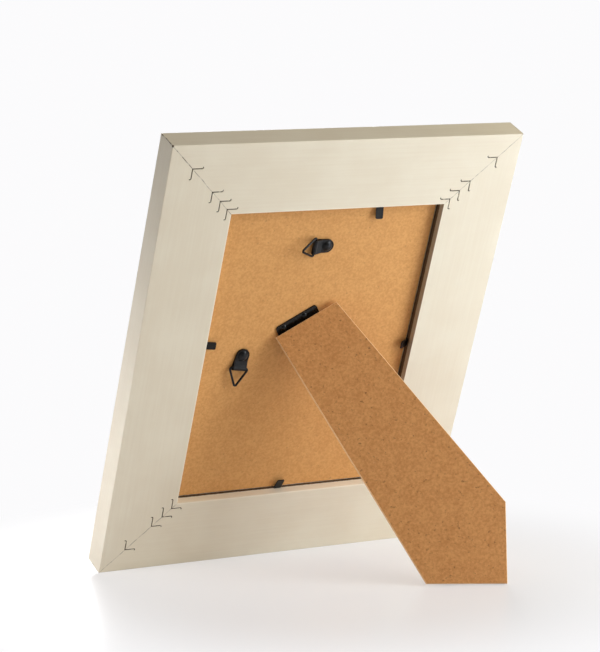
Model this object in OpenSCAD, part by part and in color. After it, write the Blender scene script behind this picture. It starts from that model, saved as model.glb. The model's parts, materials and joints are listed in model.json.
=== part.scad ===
/* [Frame] */
// Width of the rebate that holds the pane
rebate_w = 132; // [105:0.5:260]
// Height of the rebate that holds the pane
rebate_h = 182.5; // [150:0.5:360]
// Width of the moulding from its outer edge to the rebate
moulding_w = 41.8; // [30:0.1:60]
// Depth of the moulding from its face to its back
moulding_d = 15.5; // [13:0.5:24]
// How far the front lip reaches over the glass
lip_w = 5; // [3:0.5:8]
// Thickness of the front lip
lip_t = 5; // [2:0.25:6]
// Radius on the outer front edges
face_edge_r = 0.5; // [0.25:0.25:3]
// Radius on the outer back edges
back_edge_r = 0.5; // [0.25:0.25:1.5]
// Radius on the back edge of the rebate
rebate_edge_r = 0.4; // [0.2:0.1:1]
// Chamfer round the sight edge
sight_chamfer = 1; // [0.5:0.25:1.5]

/* [Glazing] */
// Thickness of the glass
glass_t = 2; // [1.5:0.1:3]
// Thickness of the print
print_t = 0.2; // [0.1:0.05:0.5]
// Thickness of the back board
board_t = 2.5; // [2:0.1:3]
// Gap between the pane and the rebate on each side
pane_gap = 1.25; // [0.25:0.25:2]

/* [Strut] */
// Thickness of the strut board
strut_t = 3; // [2:0.25:4]
// Chamfer round the strut's outer face
strut_chamfer = 0.3; // [0.1:0.1:0.8]
// Width of the strut along its hinged edge
strut_top_w = 39.6; // [34:0.1:48]
// Distance of the folded foot's corner from the side of the frame
foot_side_inset = 1.8; // [0.5:0.1:8]
// Distance of the folded foot's corner from the bottom of the frame
foot_base_inset = 6; // [2:0.1:10]

/* [Hinge] */
// Distance of the strut's straight edge from the frame's middle, along the top of the strut
hinge_x = 19.1; // [10:0.1:26]
// Height of the hinge pin above the middle of the frame, at the strut's straight edge
hinge_rise = 6.2; // [0:0.05:14]
// Tilt of the hinge pin, so that one strut serves upright and wide frames
hinge_tilt = 31; // [26:0.5:38]
// Angle between the board and the strut when it stands open
open_angle = 44.5; // [38:0.5:52]
// Thickness of the hinge leaves
leaf_t = 0.8; // [0.6:0.1:1.2]
// Length of the hinge along its pin
leaf_w = 26.5; // [20:0.5:32]
// Distance from the strut's straight edge to the hinge
leaf_inset = 2.3; // [1:0.1:4]
// Reach of the board leaf above the pin
board_leaf_h = 9.8; // [9.5:0.1:14]
// Reach of the strut leaf below the pin
strut_leaf_h = 12; // [10:0.5:20]
// Diameter of the hinge pin
hinge_pin_d = 1.6; // [1.2:0.1:2.4]
// Clear space between the barrel and the faces that turn past it
barrel_gap = 0.4; // [0.2:0.05:0.5]
// Radial clearance of the pin in its knuckles
pin_fit = 0.06; // [0.02:0.01:0.09]
// Gap between neighbouring knuckles
knuckle_gap = 0.25; // [0.2:0.05:0.5]

/* [Rivets] */
// Diameter of a rivet's domed head on the hinge
hinge_head_d = 3.6; // [3:0.1:4]
// Diameter of a rivet's domed head on a hanger
hanger_head_d = 6; // [4:0.1:6.4]
// Diameter of every rivet's shank
shank_d = 2.2; // [1.6:0.1:2.4]
// Diameter of the flattened tail in the front of the board
tail_d = 4; // [3.2:0.1:5]
// Thickness of the flattened tail
tail_t = 0.5; // [0.3:0.1:0.8]

/* [Hangers] */
// Thickness of the strap's sheet
strap_t = 0.6; // [0.5:0.1:0.9]
// Width of the strap at its loop
strap_w = 8.4; // [7.5:0.1:10]
// Radius of the strap's round end
strap_end_r = 4; // [3.4:0.1:4.2]
// Distance from the rivet to the ring's wire
strap_reach = 7.8; // [7.6:0.1:10]
// Diameter of the ring's wire
wire_d = 1.3; // [0.9:0.1:1.5]
// Radial clearance of the wire in its loop
loop_fit = 0.15; // [0.1:0.05:0.3]
// Side play of the ring's straight side in the loop
ring_play = 0.35; // [0.3:0.05:0.6]
// Bend radius at the ring's corners
ring_bend_r = 0.9; // [0.9:0.1:1.4]
// Distance of the upper hanger's rivet from the top of the rebate
top_hanger_inset = 24.9; // [18:0.1:40]
// Distance of the upper hanger's rivet from the middle, towards the right stile
top_hanger_shift = 0.5; // [-10:0.1:10]
// Distance of the side hanger's rivet from the side of the rebate
side_hanger_inset = 26.3; // [18:0.1:36]
// Direction in which the upper strap points, from straight up
top_strap_turn = 90; // [80:1:100]
// Direction in which the side strap points, from straight up
side_strap_turn = 171; // [160:1:180]
// Angle of the upper ring above the board
top_ring_lift = 24; // [0:1:60]
// Angle of the side ring above the board
side_ring_lift = 10; // [0:1:60]

/* [Retaining tabs] */
// Width of a tab
tab_w = 4.5; // [3:0.1:6]
// Thickness of a tab
tab_t = 0.6; // [0.4:0.1:1]
// Height of a tab's root above the board
tab_rise = 0.6; // [0.6:0.05:1.6]
// Depth to which a tab is driven into the moulding
tab_drive = 8; // [5:0.5:10]
// Length of the bottom tab outside the moulding
bottom_tab_reach = 6.9; // [5:0.1:10]
// Length of the right tab outside the moulding
right_tab_reach = 7.4; // [5:0.1:10]
// Length of the top tab outside the moulding
top_tab_reach = 8.6; // [5:0.1:11]
// Length of the left tab outside the moulding
left_tab_reach = 6.2; // [5:0.1:10]
// Distance of the top tab from the middle of its rail
top_tab_shift = 28; // [0:0.1:36]
// Distance of the right tab from the middle of its stile
right_tab_shift = 8.2; // [0:0.1:20]
// Distance of the left tab from the middle of its stile
left_tab_shift = -0.4; // [-10:0.1:20]

/* [Corner nails] */
// Length of a nail's wings
nail_wing = 5.5; // [4:0.1:7]
// Thickness of a nail's strip
nail_t = 0.5; // [0.4:0.1:0.8]
// Depth of a nail in the wood
nail_depth = 8; // [5:0.5:10]
// Radius of the curl at the end of each wing
nail_curl_r = 0.7; // [0.5:0.1:0.9]

/* [Hidden] */
$fn = 64;

paint = [0.90, 0.87, 0.78];
fibreboard = [0.80, 0.60, 0.38];
strut_fibreboard = [0.75, 0.56, 0.36];
clear_glass = [0.75, 0.88, 0.88, 0.5];
black_steel = [0.10, 0.10, 0.11];
bright_steel = [0.55, 0.55, 0.56];
overcut = 1;

// Sizes that follow from the moulding and what it holds
outer_w = rebate_w + 2 * moulding_w;
outer_h = rebate_h + 2 * moulding_w;
pane_w = rebate_w - 2 * pane_gap;
pane_h = rebate_h - 2 * pane_gap;
glass_y = -moulding_d + lip_t;
print_y = glass_y + glass_t;
board_y = print_y + print_t;
board_back_y = board_y + board_t;

// Hinge: pin height over the board, and distance from the pin to the strut's inner face
pin_r = hinge_pin_d / 2;
barrel_r = pin_r + leaf_t;
pin_lift = barrel_r + barrel_gap;
hinge_z = outer_h / 2 + hinge_rise;
stop_gap = 0.1;
heel = (pin_lift - leaf_t - stop_gap + pin_lift * cos(open_angle)) / sin(open_angle);
knuckle_w = leaf_w / 3;
leaf_clear = barrel_r + barrel_gap;
leaf_corner_r = 1.8;
hinge_rivet_inset = 4.6;
hinge_rivet_pitch = 13.4;
hinge_rivet_edge = 0.6;
hinge_rivet_z = board_leaf_h - hinge_rivet_edge - hinge_head_d / 2;
prong_inset = 4;
prong_edge = 2.5;
prong_r = 0.6;
prong_l = 1.6;
prong_fit = 0.05;

// Folded foot: its square corner measured from the pin, along the pin and along the strut
corner_dx = outer_w / 2 - foot_side_inset + hinge_x;
corner_dz = hinge_z - foot_base_inset;
foot_along = corner_dx * cos(hinge_tilt) - corner_dz * sin(hinge_tilt);
foot_down = corner_dx * sin(hinge_tilt) + corner_dz * cos(hinge_tilt);
foot_leg = foot_along / cos(hinge_tilt);

// Where a point of the strut lies when the strut is open, in the upright frame
function opened(along, out, down) =
    let (y = out * cos(open_angle) + down * sin(open_angle),
         z = out * sin(open_angle) - down * cos(open_angle))
    [hinge_x - along * cos(hinge_tilt) + z * sin(hinge_tilt),
     board_back_y + pin_lift + y,
     hinge_z + along * sin(hinge_tilt) + z * cos(hinge_tilt)];
foot_inner = opened(foot_along, pin_lift, foot_down);
foot_outer = opened(foot_along, pin_lift + strut_t, foot_down);

// The frame leans until its rounded back edge and the strut's inner corner share one floor
lean_rise = foot_inner.z - back_edge_r;
lean_run = foot_inner.y + back_edge_r;
lean = acos(-back_edge_r / norm([lean_rise, lean_run])) - atan2(lean_run, lean_rise);
floor_z = back_edge_r * (sin(lean) + cos(lean) - 1);
front_y = face_edge_r * (sin(lean) + cos(lean) - 1) - moulding_d * cos(lean);
rear_y = foot_outer.y * cos(lean) + foot_outer.z * sin(lean);
middle_y = (front_y + rear_y) / 2;

// Rivets and hangers
shank_r = shank_d / 2;
shank_fit = 0.05;
swivel_fit = 0.08;
hinge_dome_h = 1;
hanger_dome_h = 1.2;
strap_float = 0.15;
strap_head_gap = 0.3;
strap_flat = hanger_head_d / 2 + strap_head_gap;
wire_r = wire_d / 2;
loop_r = wire_r + loop_fit + strap_t;
wire_lift = strap_float + loop_r;
ring_turn = 118.5;
ring_w = strap_w + 2 * ring_play + 2 * ring_bend_r * tan(ring_turn / 2);
ring_h = ring_w / 2 * tan(180 - ring_turn);
bend_steps = 8;
wire_sides = 16;
top_hanger = [top_hanger_shift, moulding_w + rebate_h - top_hanger_inset];
side_hanger = [rebate_w / 2 - side_hanger_inset, outer_h / 2];

// Tabs, in the order bottom, right, top, left
tab_shift = [0, right_tab_shift, top_tab_shift, left_tab_shift];
tab_reach = [bottom_tab_reach, right_tab_reach, top_tab_reach, left_tab_reach];
tab_bend = [22, 12, 14, 30];
tab_fit = 0.05;
tab_root_gap = 0.15;
tab_tip_r = 0.8;
tab_point = 2;

// Corner nails, as shares of the mitre from the outer corner to the rebate
nail_places = [0.333, 0.67, 0.805, 0.925];
nail_sink = 0.2;
nail_fit = 0.05;
nail_curl_turn = 130;
nail_curl_steps = 10;

// ---------- placing ----------

// From the upright frame to the frame as it stands on the floor
module standing() {
    translate([0, -middle_y, -floor_z])
        rotate([-lean, 0, 0])
            children();
}

// From a rail that lies along X to its side of the frame: bottom, right, top, left
module on_side(side) {
    middles = [[0, 0, 0], [outer_w / 2, 0, outer_h / 2], [0, 0, outer_h], [-outer_w / 2, 0, outer_h / 2]];
    translate(middles[side])
        rotate([0, -90 * side, 0])
            children();
}

// On the back of the board, at a point across and up
module on_board(place) {
    translate([place.x, board_back_y, place.y])
        children();
}

// On the pin at the strut's straight edge: X along the pin, Z up the folded strut
module on_hinge() {
    on_board([hinge_x, hinge_z])
        translate([0, pin_lift, 0])
            rotate([0, hinge_tilt, 0])
                children();
}

module on_strut() {
    on_hinge()
        rotate([open_angle, 0, 0])
            children();
}

// ---------- moulding ----------

module rounded_corner(r) {
    difference() {
        square(r);
        translate([r, r])
            circle(r);
    }
}

// Section of the moulding: X from the outer edge inwards, Y from the face at -moulding_d to the back at 0
module moulding_section() {
    sight = moulding_w + lip_w;
    difference() {
        union() {
            translate([0, -moulding_d])
                square([moulding_w, moulding_d]);
            translate([0, -moulding_d])
                square([sight, lip_t]);
        }
        translate([0, -moulding_d])
            rounded_corner(face_edge_r);
        mirror([0, 1])
            rounded_corner(back_edge_r);
        translate([moulding_w, 0])
            rotate(180)
                rounded_corner(rebate_edge_r);
        translate([sight, -moulding_d])
            polygon([[-sight_chamfer, -overcut], [overcut, -overcut], [overcut, sight_chamfer + overcut],
                     [0, sight_chamfer], [-sight_chamfer, 0]]);
    }
}

// One mitred length along X with its outer edge on Z = 0
module mitred_length(length) {
    sight = moulding_w + lip_w;
    intersection() {
        rotate([0, -90, 0])
            linear_extrude(length, center = true)
                moulding_section();
        translate([0, overcut, 0])
            rotate([90, 0, 0])
                linear_extrude(moulding_d + 2 * overcut)
                    polygon([[-length / 2, 0], [length / 2, 0],
                             [length / 2 - sight, sight], [sight - length / 2, sight]]);
    }
}

module rail(side) {
    length = side % 2 == 0 ? outer_w : outer_h;
    color(paint)
        difference() {
            mitred_length(length);
            for (end = [0, 1])
                mirror([end, 0, 0])
                    translate([-length / 2, 0, 0])
                        corner_nails_at(nail_fit);
            translate([tab_shift[side], 0, 0])
                tab_anchor(tab_fit);
        }
}

// ---------- corner nails ----------

// One side of the curl at a wing's end, by its distance from the middle of the strip
function curl_side(out) =
    [for (step = [0 : nail_curl_steps])
        let (a = 90 - nail_curl_turn * step / nail_curl_steps)
        [nail_wing, -nail_curl_r] + (nail_curl_r + out) * [cos(a), sin(a)]];

// One wing runs along X from the fold and curls outwards at its end
module nail_wing_outline(grow) {
    half = nail_t / 2 + grow;
    inner = curl_side(-half);
    back = [for (i = [nail_curl_steps : -1 : 0]) inner[i]];
    polygon(concat([[-half, -half], [-half, half]], curl_side(half), back));
}

module nail(grow) {
    translate([0, -nail_sink + (grow > 0 ? overcut : 0), 0])
        rotate([90, 0, 0])
            linear_extrude(nail_depth + grow + (grow > 0 ? overcut : 0))
                for (wing = [0, 1])
                    mirror([wing, -wing])
                        nail_wing_outline(grow);
}

// The nails of one corner, whose outer point is the origin
module corner_nails_at(grow) {
    for (share = nail_places)
        translate([share * moulding_w, 0, share * moulding_w])
            nail(grow);
}

module corner_nails() {
    color(bright_steel)
        for (side = [0, 2], end = [0, 1])
            on_side(side)
                mirror([end, 0, 0])
                    translate([-outer_w / 2, 0, 0])
                        corner_nails_at(0);
}

// ---------- glazing and board ----------

module sheet(y, t) {
    translate([-pane_w / 2, y, moulding_w + pane_gap])
        cube([pane_w, t, pane_h]);
}

module glass_pane() {
    color(clear_glass)
        sheet(glass_y, glass_t);
}

module photo_print() {
    color("white")
        sheet(print_y, print_t);
}

// Hole for a rivet, with a seat for its tail in the front of the board
module rivet_hole() {
    rotate([90, 0, 0]) {
        translate([0, 0, -overcut])
            cylinder(h = board_t + 2 * overcut, r = shank_r + shank_fit);
        translate([0, 0, board_t - tail_t])
            cylinder(h = tail_t + overcut, r = tail_d / 2 + shank_fit);
    }
}

module at_hinge_rivets() {
    for (x = [hinge_rivet_inset, hinge_rivet_inset + hinge_rivet_pitch])
        on_hinge()
            translate([-leaf_inset - x, -pin_lift, hinge_rivet_z])
                children();
}

module back_board() {
    color(fibreboard)
        difference() {
            sheet(board_y, board_t);
            at_hinge_rivets()
                rivet_hole();
            for (place = [top_hanger, side_hanger])
                on_board(place)
                    rivet_hole();
        }
}

// ---------- rivets ----------

// A rivet whose head sits at the given height over the board
module rivet(head_d, dome_h, seat) {
    dome_r = (pow(head_d / 2, 2) + pow(dome_h, 2)) / (2 * dome_h);
    rotate([-90, 0, 0]) {
        intersection() {
            translate([0, 0, seat + dome_h - dome_r])
                sphere(dome_r);
            translate([0, 0, seat])
                cylinder(h = dome_h + overcut, r = head_d / 2);
        }
        translate([0, 0, -board_t])
            cylinder(h = board_t + seat + dome_h / 2, r = shank_r);
        translate([0, 0, -board_t])
            cylinder(h = tail_t, r = tail_d / 2);
    }
}

module hinge_rivets() {
    color(black_steel)
        at_hinge_rivets()
            rivet(hinge_head_d, hinge_dome_h, leaf_t);
}

module hanger_rivet(place) {
    color(black_steel)
        on_board(place)
            rivet(hanger_head_d, hanger_dome_h, 2 * strap_float + 2 * strap_t);
}

// ---------- hinge ----------

module barrel(from, to, r) {
    translate([-leaf_inset - to, 0, 0])
        rotate([0, 90, 0])
            cylinder(h = to - from, r = r);
}

module leaf_plate(from, to, y, low, high) {
    translate([-leaf_inset - to, y, low])
        cube([to - from, leaf_t, high - low]);
}

// A leaf with both far corners rounded, reaching from one distance off the pin to another
module round_leaf(y, near, far) {
    leaf_plate(leaf_corner_r, leaf_w - leaf_corner_r, y, near, far);
    leaf_plate(0, leaf_w, y, near, far - leaf_corner_r);
    for (x = [leaf_corner_r, leaf_w - leaf_corner_r])
        translate([-leaf_inset - x, y, far - leaf_corner_r])
            rotate([-90, 0, 0])
                cylinder(h = leaf_t, r = leaf_corner_r);
}

// Outer knuckles on a plate that lies on the board
module hinge_board_leaf() {
    ends = [[0, knuckle_w - knuckle_gap / 2], [2 * knuckle_w + knuckle_gap / 2, leaf_w]];
    color(black_steel)
        difference() {
            on_hinge()
                difference() {
                    union() {
                        round_leaf(-pin_lift, leaf_clear, board_leaf_h);
                        for (end = ends) {
                            barrel(end[0], end[1], barrel_r);
                            leaf_plate(end[0], end[1], -pin_lift, 0, leaf_clear);
                        }
                    }
                    barrel(-overcut, leaf_w + overcut, pin_r + pin_fit);
                }
            at_hinge_rivets()
                rotate([-90, 0, 0])
                    cylinder(h = leaf_t + overcut, r = shank_r + shank_fit);
        }
}

module hinge_pin() {
    color(black_steel)
        on_hinge()
            barrel(0, leaf_w, pin_r);
}

module at_prongs() {
    for (x = [prong_inset, leaf_w - prong_inset], z = [2 * prong_edge, strut_leaf_h - prong_edge])
        translate([-leaf_inset - x, pin_lift, -z])
            rotate([-90, 0, 0])
                children();
}

// Middle knuckle on a plate that is pronged to the strut
module hinge_strut_leaf() {
    from = knuckle_w + knuckle_gap / 2;
    to = 2 * knuckle_w - knuckle_gap / 2;
    color(black_steel)
        on_strut() {
            difference() {
                union() {
                    mirror([0, 0, 1])
                        round_leaf(pin_lift - leaf_t, leaf_clear, strut_leaf_h);
                    leaf_plate(from, to, pin_lift - leaf_t, -leaf_clear, 0);
                    barrel(from, to, barrel_r);
                }
                barrel(from - overcut, to + overcut, pin_r + pin_fit);
            }
            at_prongs()
                cylinder(h = prong_l, r = prong_r);
        }
}

// ---------- strut ----------

// One square corner of the foot serves upright frames, and the same corner serves wide ones
strut_corners = [
    [0, heel],
    [-foot_along + foot_leg * cos(hinge_tilt), -foot_down + foot_leg * sin(hinge_tilt)],
    [-foot_along, -foot_down],
    [-foot_along - foot_leg * sin(hinge_tilt), -foot_down + foot_leg * cos(hinge_tilt)],
    [-strut_top_w, heel]
];

// Bars that cut a chamfer along every side of the strut's outer face
module strut_chamfers() {
    count = len(strut_corners);
    for (i = [0 : count - 1])
        let (from = strut_corners[i], side = strut_corners[(i + 1) % count] - from)
        translate([from.x, pin_lift + strut_t, from.y])
            rotate([0, -atan2(side.y, side.x), 0])
                translate([norm(side) / 2, 0, 0])
                    rotate([45, 0, 0])
                        cube([norm(side) + 2 * overcut, sqrt(2) * strut_chamfer, sqrt(2) * strut_chamfer],
                             center = true);
}

module easel_strut() {
    color(strut_fibreboard)
        on_strut()
            difference() {
                translate([0, pin_lift + strut_t, 0])
                    rotate([90, 0, 0])
                        linear_extrude(strut_t)
                            polygon(strut_corners);
                strut_chamfers();
                at_prongs()
                    translate([0, 0, -overcut])
                        cylinder(h = prong_l + prong_fit + overcut, r = prong_r + prong_fit);
            }
}

// ---------- hangers ----------

// Side view of the strap, folded round the wire: X along the strap, Y off the board
module strap_fold() {
    top_low = 2 * strap_t;
    top_high = 2 * loop_r;
    difference() {
        union() {
            translate([-strap_end_r, 0])
                square([strap_end_r + strap_reach, strap_t]);
            translate([strap_reach, loop_r])
                circle(loop_r);
            polygon([[-strap_end_r, strap_t], [strap_flat, strap_t], [strap_reach, top_high - strap_t],
                     [strap_reach, top_high], [strap_flat, top_low], [-strap_end_r, top_low]]);
        }
        translate([strap_reach, loop_r])
            circle(wire_r + loop_fit);
    }
}

// Plan of the strap, which widens from its round end to the loop
module strap_plan() {
    far = strap_reach + loop_r;
    slope = atan((strap_w / 2 - strap_end_r) / far);
    tangent = [strap_end_r * cos(slope), -strap_end_r * sin(slope)];
    circle(strap_end_r);
    polygon([tangent, [strap_w / 2, far], [-strap_w / 2, far], [-tangent.x, tangent.y]]);
}

module on_hanger(place, turn) {
    on_board(place)
        rotate([0, turn, 0])
            children();
}

module hanger_strap(place, turn) {
    color(black_steel)
        on_hanger(place, turn)
            difference() {
                intersection() {
                    translate([0, strap_float, 0])
                        rotate([0, -90, 0])
                            linear_extrude(2 * strap_w, center = true)
                                strap_fold();
                    translate([0, overcut + 2 * wire_lift, 0])
                        rotate([90, 0, 0])
                            linear_extrude(2 * overcut + 2 * wire_lift)
                                strap_plan();
                }
                rotate([-90, 0, 0])
                    cylinder(h = 2 * wire_lift, r = shank_r + swivel_fit);
            }
}

// Points and headings along the bend at one corner of a closed wire
function bend_stations(corners, i, bend_r) =
    let (count = len(corners),
         here = corners[i],
         into = here - corners[(i + count - 1) % count],
         out = corners[(i + 1) % count] - here,
         turn = acos(into * out / (norm(into) * norm(out))),
         start = atan2(into.y, into.x),
         centre = here - into / norm(into) * bend_r * tan(turn / 2) + bend_r * [-sin(start), cos(start)])
    [for (step = [0 : bend_steps])
        let (heading = start + turn * step / bend_steps)
        [centre.x + bend_r * sin(heading), centre.y - bend_r * cos(heading), heading]];

// A wire bent round the corners of a plane figure, which run anticlockwise
module wire_loop(corners, bend_r, r) {
    stations = [for (i = [0 : len(corners) - 1]) each bend_stations(corners, i, bend_r)];
    count = len(stations);
    skin = [for (at = stations, side = [0 : wire_sides - 1])
        let (a = 360 * side / wire_sides)
        [at.x - r * cos(a) * sin(at.z), at.y + r * cos(a) * cos(at.z), r * sin(a)]];
    quads = [for (j = [0 : count - 1], side = [0 : wire_sides - 1])
        let (ahead = (j + 1) % count, beside = (side + 1) % wire_sides)
        [j * wire_sides + side, j * wire_sides + beside,
         ahead * wire_sides + beside, ahead * wire_sides + side]];
    polyhedron(skin, quads);
}

module hanger_ring(place, turn, lift) {
    color(black_steel)
        on_hanger(place, turn)
            translate([0, wire_lift, strap_reach])
                rotate([90 - lift, 0, 0])
                    wire_loop([[-ring_w / 2, 0], [ring_w / 2, 0], [0, ring_h]], ring_bend_r, wire_r);
}

// ---------- retaining tabs ----------

// The part of a tab that is driven into a rail, pointed at its end
module tab_anchor(grow) {
    half = tab_w / 2 + grow;
    thick = tab_t + 2 * grow;
    deep = tab_drive + grow;
    mouth = grow > 0 ? overcut : 0;
    translate([0, board_back_y + tab_rise + thick / 2, moulding_w])
        rotate([90, 0, 0])
            linear_extrude(thick)
                polygon([[-half, mouth], [half, mouth],
                         [half, tab_point - deep], [0, -deep], [-half, tab_point - deep]]);
}

module tab_anchors() {
    color(black_steel)
        for (side = [0 : 3])
            on_side(side)
                translate([tab_shift[side], 0, 0])
                    tab_anchor(0);
}

module tab_outline(reach) {
    inner = tab_w / 2 - tab_tip_r;
    translate([-tab_w / 2, 0])
        square([tab_w, reach - tab_tip_r]);
    translate([-inner, 0])
        square([2 * inner, reach]);
    for (x = [-inner, inner])
        translate([x, reach - tab_tip_r])
            circle(tab_tip_r);
}

module tab_blade(side) {
    color(black_steel)
        on_side(side)
            translate([tab_shift[side], board_back_y + tab_rise, moulding_w + tab_root_gap + tab_t / 2])
                rotate([-tab_bend[side], 0, 0]) {
                    translate([0, tab_t / 2, 0])
                        rotate([90, 0, 0])
                            linear_extrude(tab_t)
                                tab_outline(tab_reach[side]);
                    translate([-tab_w / 2, 0, 0])
                        rotate([0, 90, 0])
                            cylinder(h = tab_w, r = tab_t / 2);
                }
}

// ---------- the object ----------

standing() on_side(0) rail(0);  // bottom_rail
standing() on_side(1) rail(1);  // right_stile
standing() on_side(2) rail(2);  // top_rail
standing() on_side(3) rail(3);  // left_stile
standing() corner_nails();
standing() glass_pane();
standing() photo_print();
standing() back_board();
standing() hinge_board_leaf();
standing() hinge_rivets();
standing() hinge_pin();
standing() hinge_strut_leaf();
standing() easel_strut();
standing() hanger_rivet(top_hanger);  // top_hanger_rivet
standing() hanger_strap(top_hanger, top_strap_turn);  // top_hanger_strap
standing() hanger_ring(top_hanger, top_strap_turn, top_ring_lift);  // top_hanger_ring
standing() hanger_rivet(side_hanger);  // side_hanger_rivet
standing() hanger_strap(side_hanger, side_strap_turn);  // side_hanger_strap
standing() hanger_ring(side_hanger, side_strap_turn, side_ring_lift);  // side_hanger_ring
standing() tab_anchors();
standing() tab_blade(0);  // tab_bottom
standing() tab_blade(1);  // tab_right
standing() tab_blade(2);  // tab_top
standing() tab_blade(3);  // tab_left
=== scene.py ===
# %% [markdown]
# # A picture frame seen from behind
#
# The frame stands on its easel strut, and we look at its back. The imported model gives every
# part its exact shape and place, so this lesson is about everything that the shape leaves out:
# paint over wood, raw fibreboard, black steel, glass, light, and a camera.
#
# The model is loaded first and is never moved. All lengths are metres.

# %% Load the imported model
import json
import math

import bpy
import bmesh
from mathutils import Matrix, Vector

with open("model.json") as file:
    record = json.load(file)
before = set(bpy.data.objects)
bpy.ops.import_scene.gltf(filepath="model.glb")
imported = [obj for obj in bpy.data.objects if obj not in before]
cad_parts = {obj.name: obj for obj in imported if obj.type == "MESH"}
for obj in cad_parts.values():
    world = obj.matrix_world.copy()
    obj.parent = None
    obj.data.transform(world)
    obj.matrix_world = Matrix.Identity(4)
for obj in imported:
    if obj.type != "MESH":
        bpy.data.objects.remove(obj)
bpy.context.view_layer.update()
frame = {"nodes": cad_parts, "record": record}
MM = 0.001

# %% [markdown]
# ## Which way the frame leans
#
# The standing frame leans back. The axis that the hanger strap turns about is square to the back
# board, so it tells us the lean without measuring anything. Patterns such as wood grain
# follow the frame, so the materials will undo this lean before they use a coordinate.

# %% The lean of the frame
joints = {joint["name"]: joint for joint in frame["record"]["behaviour"]["joints"]}
out_of_back = Vector(joints["top_strap_swivel"]["axis"])
lean = math.atan2(-out_of_back.z, out_of_back.y)
print("lean in degrees:", round(math.degrees(lean), 2))

ACROSS, DEEP, UP = 0, 1, 2


def places(name):
    """The corners of a part, with the lean of the frame undone."""
    untilt = Matrix.Rotation(lean, 4, "X")
    part = frame["nodes"][name]
    return [untilt @ part.matrix_world @ vertex.co for vertex in part.data.vertices]


def span(name, way):
    """Smallest and largest measure of a part across, through or up the leaning frame."""
    measures = [place[way] for place in places(name)]
    return min(measures), max(measures)


outer_w = 2 * span("bottom_rail", ACROSS)[1]
low_edge = span("bottom_rail", UP)[0]
high_edge = span("top_rail", UP)[1]
board_back = span("back_board", DEEP)[1]
frame_back = span("bottom_rail", DEEP)[1]
at_back = [place for place in places("left_stile") if place[DEEP] > (board_back + frame_back) / 2]
rebate_wall = max(outer_w / 2 - abs(place[ACROSS]) for place in at_back)
print("outer size in mm:", round(outer_w / MM, 1), round((high_edge - low_edge) / MM, 1))
print("rebate wall from the outer edge in mm:", round(rebate_wall / MM, 1))

# %% [markdown]
# ## Shader maths as plain expressions
#
# A material is a graph of nodes, and graphs written call by call are hard to read. Here a socket
# is wrapped in a small class, so `1 - mask * 0.5` adds the Math nodes by itself. Every other
# node comes from one method that takes its type, its settings and its inputs.

# %% Sockets that can be added and multiplied
class Wire:
    """One output of a node, used in sums like a number."""

    def __init__(self, finish, socket):
        self.finish = finish
        self.socket = socket

    def math(self, operation, *others):
        inputs = {0: self}
        for index, other in enumerate(others):
            inputs[index + 1] = other
        return self.finish.node("ShaderNodeMath", {"operation": operation}, inputs)

    def __add__(self, other):
        return self.math("ADD", other)

    def __mul__(self, other):
        return self.math("MULTIPLY", other)

    def __sub__(self, other):
        return self.math("SUBTRACT", other)

    def __rsub__(self, other):
        return (self * -1.0).math("ADD", other)

    def __abs__(self):
        return self.math("ABSOLUTE")

    def rise(self, low, high):
        """0 below low, 1 above high, and smooth between them."""
        return self.finish.node(
            "ShaderNodeMapRange",
            {"interpolation_type": "SMOOTHSTEP"},
            {"Value": self, "From Min": low, "From Max": high},
        )


def tone(red, green, blue):
    """A colour as a paint chart gives it, 0 to 255, turned into the linear values of a shader."""
    linear = []
    for value in (red, green, blue):
        share = value / 255
        linear.append(share / 12.92 if share <= 0.04045 else ((share + 0.055) / 1.055) ** 2.4)
    return (*linear, 1.0)


class Finish:
    """A material and the graph that makes it."""

    def __init__(self, name):
        self.material = bpy.data.materials.new(name)
        self.material.use_nodes = True
        self.tree = self.material.node_tree
        self.tree.nodes.clear()
        self.skin = self.tree.nodes.new("ShaderNodeBsdfPrincipled")
        self.end = self.tree.nodes.new("ShaderNodeOutputMaterial")
        self.tree.links.new(self.skin.outputs[0], self.end.inputs["Surface"])

    def feed(self, socket, value):
        """Link a wire to a socket, or type a number or a colour into it."""
        if isinstance(value, Wire):
            self.tree.links.new(value.socket, socket)
        else:
            socket.default_value = value

    def node(self, kind, settings=None, inputs=None, output=0):
        """Any node by its type, with its settings, its inputs and the output that is wanted."""
        made = self.tree.nodes.new(kind)
        for name, value in (settings or {}).items():
            setattr(made, name, value)
        for name, value in (inputs or {}).items():
            self.feed(made.inputs[name], value)
        return Wire(self, made.outputs[output])

    def set(self, **looks):
        """Principled sockets by name, with spaces written as underscores."""
        for name, value in looks.items():
            self.feed(self.skin.inputs[name.replace("_", " ")], value)
        return self

    def place(self, turn=(0, 0, 0), stretch=(1, 1, 1)):
        """Object coordinates, turned and stretched for a pattern."""
        where = self.node("ShaderNodeTexCoord", output="Object")
        turned = {"Vector": where, "Rotation": turn, "Scale": stretch}
        return self.node("ShaderNodeMapping", {}, turned)

    def split(self, vector):
        """The three coordinates of a vector as wires of their own."""
        parts = self.node("ShaderNodeSeparateXYZ", {}, {"Vector": vector}).socket.node
        return [Wire(self, output) for output in parts.outputs]

    def noise(self, vector, size, detail=3.0, roughness=0.5):
        """Cloudy noise whose lumps are about size metres across."""
        looks = {"Vector": vector, "Scale": 1 / size, "Detail": detail, "Roughness": roughness}
        return self.node("ShaderNodeTexNoise", {}, looks)

    def blend(self, mask, first, second):
        """The first colour where the mask is 0, and the second where it is 1."""
        made = self.tree.nodes.new("ShaderNodeMix")
        made.data_type = "RGBA"
        for index, value in ((0, mask), (6, first), (7, second)):
            self.feed(made.inputs[index], value)
        return Wire(self, made.outputs[2])

    def bump(self, height, depth, strength):
        """Small relief that is depth metres high."""
        looks = {"Height": height, "Distance": depth, "Strength": strength}
        return self.node("ShaderNodeBump", {}, looks)


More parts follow.
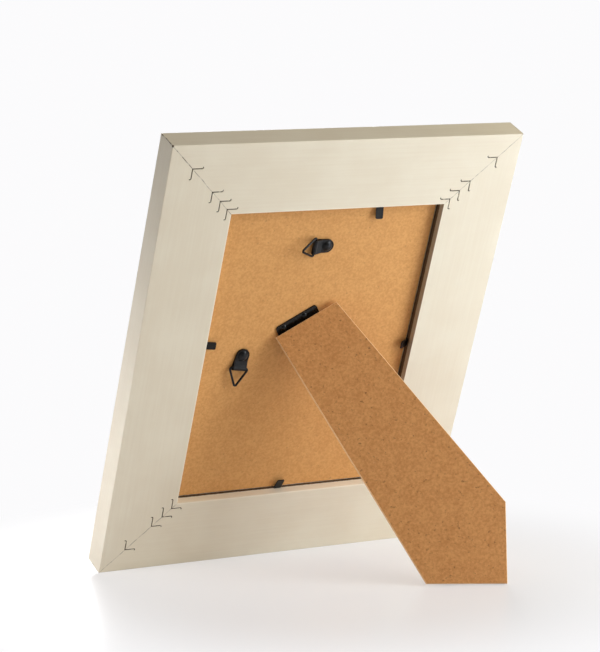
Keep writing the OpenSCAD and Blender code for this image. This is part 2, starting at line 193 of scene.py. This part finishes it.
def dress(material, *names):
    """Give parts one material in place of what they had."""
    for name in names:
        slots = frame["nodes"][name].data.materials
        slots.clear()
        slots.append(material)


print("one class for sockets and one for materials")

# %% [markdown]
# ## Cream paint over wood
#
# The mouldings are wood under a smooth, satin cream paint. A little grain still shows through
# as long soft streaks, and they run along each length, so the rails and the stiles need
# their own direction. A pale line along the back edge of the rebate is a painted highlight.
# Each corner is mitred, and a broken dark hairline shows where the two
# lengths meet. We draw it with the distance to the mitre, which is the difference of two
# distances to the outer edges. The paint thins out on the walls of the rebate, where a band of
# unpainted brown wood runs round the board. On the left stile the band is wider and the whole
# wall is darker. That is painted shade, because this wall faces away from the light and the gap
# beside the board lies in shadow. The paint is also chipped at one corner.

# %% Paint for rails and stiles
CREAM = tone(230, 221, 200)
CREAM_DEEP = tone(225, 214, 192)
PAINTED_EDGE_HIGHLIGHT = tone(244, 235, 214)
JOINT_DIRT = tone(66, 45, 19)
# Unpainted wood where the paint stops at the board. On the left stile the same brown is also painted
# shade.
BARE_WOOD_AND_SHADE = tone(98, 76, 52)
BARE_RISE = 0.5 * MM
# On the left stile the dark band reaches higher and the whole wall is darkened: painted shade of a wall
# that faces away from the light.
BARE_AND_SHADE_RISE_LEFT = 2.1 * MM
WALL_SHADE_LEFT = 0.55
GRAIN_STRETCH = 0.03
upright = (lean, 0, 0)


def painted_wood(name, along_x, bare_and_shade_rise=BARE_RISE, wall_shade=0.0):
    """Cream paint for lengths that run across (along_x) or up the frame."""
    finish = Finish(name)
    where = finish.place(turn=upright)
    across, through, up = finish.split(where)
    stretch = (GRAIN_STRETCH, 1, 1) if along_x else (1, 1, GRAIN_STRETCH)
    grain_place = finish.node("ShaderNodeMapping", {}, {"Vector": where, "Scale": stretch})
    streaks = finish.noise(grain_place, 1.2 * MM, detail=3.0, roughness=0.5)
    clouds = finish.noise(where, 22 * MM, detail=2.0)
    shade = (streaks * 0.4 + clouds * 0.6).rise(0.3, 0.7)
    body = finish.blend(shade, CREAM_DEEP, CREAM)

    from_side = outer_w / 2 - abs(across)
    from_end = (high_edge - low_edge) / 2 - abs(up - (high_edge + low_edge) / 2)
    inwards = from_end if along_x else from_side
    # A pale band along the back edge of the rebate is a painted highlight, where the rounded edge
    # catches the light.
    arris_highlight = inwards.rise(rebate_wall - 1.1 * MM, rebate_wall - 0.4 * MM)
    body = finish.blend(arris_highlight * 0.6, body, PAINTED_EDGE_HIGHLIGHT)

    breaks = finish.noise(where, 3.5 * MM, detail=2.0).rise(0.4, 0.62)
    wander = finish.noise(where, 5 * MM, detail=1.0) * (0.8 * MM) - 0.4 * MM
    off_mitre = abs(from_side - from_end + wander)
    hairline = (1 - off_mitre.rise(0.14 * MM, 0.42 * MM)) * (breaks * 0.7 + 0.3)
    to_corner = {0: across - outer_w / 2, 1: through - frame_back, 2: up - high_edge}
    corner = finish.node("ShaderNodeCombineXYZ", {}, to_corner)
    from_corner = finish.node("ShaderNodeVectorMath", {"operation": "LENGTH"}, {0: corner}, "Value")
    opened = 1 - from_corner.rise(8 * MM, 26 * MM)
    colour = finish.blend(hairline * (opened * 0.4 + 0.6), body, JOINT_DIRT)

    ragged = finish.noise(where, 1.6 * MM, detail=3.0) * (0.6 * MM) - 0.3 * MM
    over_board = through + ragged - board_back
    behind_lip = over_board.rise(-1.5 * MM, -1.0 * MM)
    wall = inwards.rise(rebate_wall - 0.25 * MM, rebate_wall - 0.05 * MM) * behind_lip
    # Where the wall shade is set, the cream is darkened over the whole wall towards the brown. That is
    # painted shade, not thin paint.
    painted = over_board.rise(bare_and_shade_rise - 0.15 * MM, bare_and_shade_rise + 0.15 * MM) * (1 - wall_shade)
    bare_and_shade = wall * (1 - painted)
    colour = finish.blend(bare_and_shade, colour, BARE_WOOD_AND_SHADE)
    chip = 1 - (from_corner + ragged).rise(0.7 * MM, 1.3 * MM)
    colour = finish.blend(chip, colour, JOINT_DIRT)

    orange_peel = finish.noise(where, 0.5 * MM, detail=2.0)
    height = streaks * 0.3 + orange_peel * 0.15 - hairline * 1.5
    return finish.set(
        Base_Color=colour,
        Roughness=bare_and_shade * 0.5 + streaks * 0.1 + 0.4,
        Coat_Weight=0.08,
        Coat_Roughness=0.3,
        Normal=finish.bump(height, 0.04 * MM, 0.4),
    ).material


dress(painted_wood("cream_paint_rails", True), "bottom_rail", "top_rail")
dress(painted_wood("cream_paint_right_stile", False), "right_stile")
dress(painted_wood("cream_paint_left_stile", False, BARE_AND_SHADE_RISE_LEFT, WALL_SHADE_LEFT), "left_stile")
# On the left stile the band is painted shade as well as unpainted wood.
print("painted rails and stiles, bare wood up to", round(BARE_AND_SHADE_RISE_LEFT / MM, 1), "mm from the board")

# %% [markdown]
# ## Raw fibreboard
#
# The board and the strut are medium-density fibreboard. Its face is pressed wood fibre: a warm
# tan with pale and dark flecks up to two millimetres long, and a soft mottle a few millimetres
# wide. It is dull all over. The strut is a shade browner with stronger flecks. Its cut edges
# are paler, partly as their own colour and partly as a painted highlight along the edges. We
# find them by how far the surface turns away from the strut's broad face.

# %% Fibreboard
FLECK_DARK = tone(104, 66, 34)
FLECK_PALE = tone(240, 196, 140)
SAWN_EDGE_AND_HIGHLIGHT = tone(238, 200, 152)


def broad_way(name):
    """Direction that the largest face of a flat part looks in."""
    faces = frame["nodes"][name].data.polygons
    return max(faces, key=lambda face: face.area).normal.copy()


def fibreboard(name, node, deep, pale, flecked):
    """Fibreboard for one flat part, between two tans, with more flecks as flecked rises."""
    finish = Finish(name)
    where = finish.place(turn=upright)
    mottle = finish.noise(where, 6 * MM, detail=4.0, roughness=0.6)
    fibre = finish.noise(where, 1.5 * MM, detail=4.0, roughness=0.65)
    flecks = finish.noise(where, 2.0 * MM, detail=3.0, roughness=0.6)
    shade = (mottle * 0.3 + fibre * 0.7).rise(0.33, 0.67)
    ground = finish.blend(shade, deep, pale)
    dark = 1 - flecks.rise(0.26, 0.4)
    light = flecks.rise(0.66, 0.76)
    colour = finish.blend(dark * flecked, ground, FLECK_DARK)
    colour = finish.blend(light * flecked * 0.25, colour, FLECK_PALE)
    facing = finish.node("ShaderNodeTexCoord", output="Normal")
    square_on = finish.node(
        "ShaderNodeVectorMath", {"operation": "DOT_PRODUCT"}, {0: facing, 1: broad_way(node)}, "Value"
    )
    # Cut edges: paler fibre, made paler still as a painted highlight.
    sawn_and_highlight = 1 - abs(square_on).rise(0.8, 0.95)
    colour = finish.blend(sawn_and_highlight * 0.75, colour, SAWN_EDGE_AND_HIGHLIGHT)
    return finish.set(
        Base_Color=colour,
        Roughness=fibre * 0.15 + 0.68,
        Normal=finish.bump(fibre + mottle * 0.5, 0.05 * MM, 0.5),
    ).material


board_finish = fibreboard("fibreboard", "back_board", tone(203, 146, 83), tone(219, 163, 99), 0.3)
strut_finish = fibreboard("strut_fibreboard", "easel_strut", tone(186, 126, 69), tone(210, 151, 90), 0.7)
dress(board_finish, "back_board")
dress(strut_finish, "easel_strut")
print("board faces", [round(value, 2) for value in broad_way("back_board")])

# %% [markdown]
# ## Black steel and corner nails
#
# The hinge, hangers and tabs are blackened steel with a soft sheen that breaks up where the
# black is thin. The hinge is the blackest. The corner nails are plain steel strip that has
# gone dull and brown, and the cream paint has smeared over parts of them.

# %% Steel
HINGE = ["hinge_board_leaf", "hinge_rivets", "hinge_pin", "hinge_strut_leaf"]
HANGERS = [
    "top_hanger_rivet", "top_hanger_strap", "top_hanger_ring",
    "side_hanger_rivet", "side_hanger_strap", "side_hanger_ring",
]
TABS = ["tab_anchors", "tab_bottom", "tab_right", "tab_top", "tab_left"]


def steel(name, dark, worn, metallic, smooth, rough):
    """Blackened steel, dark and smooth where the black holds, worn and rough where it is thin."""
    finish = Finish(name)
    where = finish.place()
    patches = finish.noise(where, 2.5 * MM, detail=4.0, roughness=0.6)
    grit = finish.noise(where, 0.3 * MM, detail=3.0)
    wear = patches.rise(0.45, 0.75)
    return finish.set(
        Base_Color=finish.blend(wear, dark, worn),
        Metallic=metallic,
        Roughness=wear * (rough - smooth) + smooth,
        Normal=finish.bump(grit, 0.02 * MM, 0.4),
    ).material


def smeared_nail():
    """Brown rusty strip with paint over parts of it."""
    finish = Finish("nail_steel")
    where = finish.place(turn=upright)
    smears = finish.noise(where, 2.2 * MM, detail=3.0).rise(0.56, 0.68)
    rust = finish.noise(where, 0.8 * MM, detail=3.0).rise(0.35, 0.65)
    metal = finish.blend(rust, tone(32, 20, 7), tone(54, 37, 17))
    return finish.set(
        Base_Color=finish.blend(smears * 0.6, metal, CREAM_DEEP),
        Roughness=rust * 0.2 + 0.6,
        Specular_IOR_Level=0.08,
        Normal=finish.bump(rust, 0.03 * MM, 0.4),
    ).material


dress(steel("hinge_steel", tone(8, 7, 7), tone(22, 20, 19), 0.4, 0.24, 0.44), *HINGE)
dress(steel("hanger_steel", tone(19, 19, 21), tone(40, 41, 45), 0.5, 0.28, 0.46), *HANGERS)
dress(steel("tab_steel", tone(12, 12, 14), tone(26, 25, 27), 0.3, 0.34, 0.5), *TABS)
dress(smeared_nail(), "corner_nails")
print("steel parts:", len(HINGE) + len(HANGERS) + len(TABS) + 1)

# %% [markdown]
# ## Glass and print
#
# They are only seen from the front. The glass is a thin see-through skin with the faint green of
# float glass, so light reaches the print straight through it. The print is a sheet of plain
# off-white paper. Both are drawn in by a few hundredths of a millimetre with a modifier, because
# faces that lie exactly on each other can't be told apart by a ray.

# %% Glass and print
glass = Finish("clear_glass")
glass.set(Base_Color=tone(212, 228, 220), Roughness=0.03, IOR=1.5, Alpha=0.08)
dress(glass.material, "glass_pane")

paper = Finish("print_paper")
fibres = paper.noise(paper.place(turn=upright), 0.6 * MM, detail=4.0)
paper.set(
    Base_Color=paper.blend(fibres.rise(0.3, 0.7), tone(232, 230, 224), tone(240, 239, 234)),
    Roughness=0.5,
    Normal=paper.bump(fibres, 0.02 * MM, 0.4),
)
dress(paper.material, "photo_print")


def draw_in(name, depth):
    """Move every face of a part inwards."""
    shrink = frame["nodes"][name].modifiers.new("draw_in", "DISPLACE")
    shrink.mid_level = 0.0
    shrink.strength = -depth


SHEET_GAP = 0.03 * MM
for sheet in ("glass_pane", "photo_print"):
    draw_in(sheet, SHEET_GAP)
print("sheets drawn in by", round(SHEET_GAP / MM, 2), "mm")

# %% [markdown]
# ## Floor and backdrop
#
# The frame stands on a white, slightly glossy table top in an overlit studio. Near the frame
# the table keeps its soft shadow and a faint reflection. Further out it fades to white. The
# white is for the camera only, so the lamps and the bounce light aren't changed.

# %% Floor
FLOOR_HALF = 6.0
BACKDROP = (0.97, 0.965, 0.975, 1.0)
FLOOR_NEAR = 0.1
FLOOR_FAR = 0.25
FLOOR_WASH = 0.45


def make_floor():
    """The table top, white to the camera away from the frame."""
    mesh = bpy.data.meshes.new("floor")
    shape = bmesh.new()
    bmesh.ops.create_grid(shape, x_segments=1, y_segments=1, size=FLOOR_HALF)
    shape.to_mesh(mesh)
    shape.free()
    floor = bpy.data.objects.new("floor", mesh)
    bpy.context.scene.collection.objects.link(floor)
    top = Finish("pale_table")
    distance = top.node("ShaderNodeVectorMath", {"operation": "LENGTH"}, {0: top.place()}, "Value")
    light_path = top.node("ShaderNodeLightPath").socket.node
    seen = Wire(top, light_path.outputs["Is Camera Ray"])
    wash = distance.rise(FLOOR_NEAR, FLOOR_FAR) * (1 - FLOOR_WASH) + FLOOR_WASH
    top.set(Base_Color=tone(246, 245, 246), Roughness=0.3)
    white = top.node("ShaderNodeEmission", {}, {"Color": BACKDROP, "Strength": 1.0})
    skin = Wire(top, top.skin.outputs[0])
    mixed = top.node("ShaderNodeMixShader", {}, {0: wash * seen, 1: skin, 2: white})
    top.feed(top.end.inputs["Surface"], mixed)
    mesh.materials.append(top.material)


make_floor()
print("table is white from", round(FLOOR_FAR / MM), "mm out")

# %% [markdown]
# ## The studio round the frame
#
# The walls of the studio give a little light from everywhere. The camera sees them as the same
# white as the far table, and so does the camera through glass.

# %% World
STUDIO_LIGHT = 0.14


def light_world(strength):
    """Weak even light, with the backdrop's white for the camera."""
    world = bpy.data.worlds.new("studio")
    bpy.context.scene.world = world
    world.use_nodes = True
    tree = world.node_tree
    tree.nodes.clear()
    path = tree.nodes.new("ShaderNodeLightPath")
    soft = tree.nodes.new("ShaderNodeBackground")
    soft.inputs["Color"].default_value = (1.0, 1.0, 1.0, 1.0)
    soft.inputs["Strength"].default_value = strength
    plain = tree.nodes.new("ShaderNodeBackground")
    plain.inputs["Color"].default_value = BACKDROP
    plain.inputs["Strength"].default_value = 1.0
    either = tree.nodes.new("ShaderNodeMath")
    either.operation = "MAXIMUM"
    tree.links.new(path.outputs["Is Camera Ray"], either.inputs[0])
    tree.links.new(path.outputs["Is Transmission Ray"], either.inputs[1])
    mix = tree.nodes.new("ShaderNodeMixShader")
    end = tree.nodes.new("ShaderNodeOutputWorld")
    tree.links.new(either.outputs[0], mix.inputs[0])
    tree.links.new(soft.outputs[0], mix.inputs[1])
    tree.links.new(plain.outputs[0], mix.inputs[2])
    tree.links.new(mix.outputs[0], end.inputs["Surface"])


light_world(STUDIO_LIGHT)
print("studio light", STUDIO_LIGHT)

# %% [markdown]
# ## Lamps
#
# Left and right are as the camera sees them. The key is a large soft lamp high on the right,
# close enough for the light to fall off across the frame, so the strut throws its shadow to the
# left. A card near the table on the right lifts the bottom rail, and a small one on the left
# brightens the lower end of the side of the frame. The shiny table doesn't mirror those two
# cards. A warm lamp above fills, a small warm one lights the right end of the top edge, and one
# on the far side lights the front.

# %% Lamps
PLAIN = (1.0, 1.0, 1.0)


def softbox(name, place, aim, wide, high, power, colour=PLAIN, mirrored=True):
    """A rectangular lamp at a place, turned to its aim. Lengths in metres, power in watts."""
    lamp = bpy.data.lights.new(name, "AREA")
    lamp.shape = "RECTANGLE"
    lamp.size = wide
    lamp.size_y = high
    lamp.energy = power
    lamp.color = colour
    holder = bpy.data.objects.new(name, lamp)
    holder.location = place
    holder.rotation_euler = (Vector(aim) - Vector(place)).to_track_quat("-Z", "Y").to_euler()
    holder.visible_glossy = mirrored
    bpy.context.scene.collection.objects.link(holder)


softbox("key", (-0.62, 0.60, 0.42), (0, 0, 0.12), 0.45, 0.45, 4.3, (0.94, 0.99, 1.0))
softbox("warm_fill", (-0.12, 0.81, 1.0), (0, 0, 0.12), 0.9, 0.9, 3.5, (1.0, 0.86, 0.7))
softbox(
    "right_card", (-0.45, 0.30, 0.06), (-0.05, 0, 0.05), 0.3, 0.1, 1.15,
    colour=(0.8, 0.87, 1.0), mirrored=False,
)
softbox(
    "left_card", (0.33, -0.07, 0.065), (0.1, -0.03, 0.03), 0.09, 0.09, 0.43,
    colour=(0.92, 0.93, 1.0), mirrored=False,
)
softbox("top_card", (-0.45, -0.15, 0.55), (-0.1, -0.06, 0.23), 0.2, 0.2, 0.36, (1.0, 0.78, 0.35))
softbox("far_side", (-0.3, -0.9, 0.42), (0, 0, 0.12), 0.5, 0.5, 6.5)
print("lamps:", len(bpy.data.lights))

# %% [markdown]
# ## Camera
#
# A long lens from a little above, behind the frame and to its left as the picture faces. The
# camera is turned a hair about its own line of sight.

# %% Camera
CAMERA_PLACE = Vector((0.68181, 1.24983, 0.32717))
CAMERA_AIM = Vector((-0.46867, -0.87373, -0.13018))
CAMERA_ROLL = math.radians(-0.12)
LENS = 155.25

SENSOR = 36
NEAREST = 0.05

camera = bpy.data.cameras.new("camera")
camera.sensor_fit = "HORIZONTAL"
camera.sensor_width = SENSOR
camera.lens = LENS
camera.clip_start = NEAREST
camera_holder = bpy.data.objects.new("camera", camera)
camera_holder.location = CAMERA_PLACE
aimed = CAMERA_AIM.to_track_quat("-Z", "Y").to_matrix() @ Matrix.Rotation(CAMERA_ROLL, 3, "Z")
camera_holder.rotation_euler = aimed.to_euler()
bpy.context.scene.collection.objects.link(camera_holder)
bpy.context.scene.camera = camera_holder
bpy.context.scene.view_settings.view_transform = "Standard"
print("camera at", [round(value, 3) for value in CAMERA_PLACE])
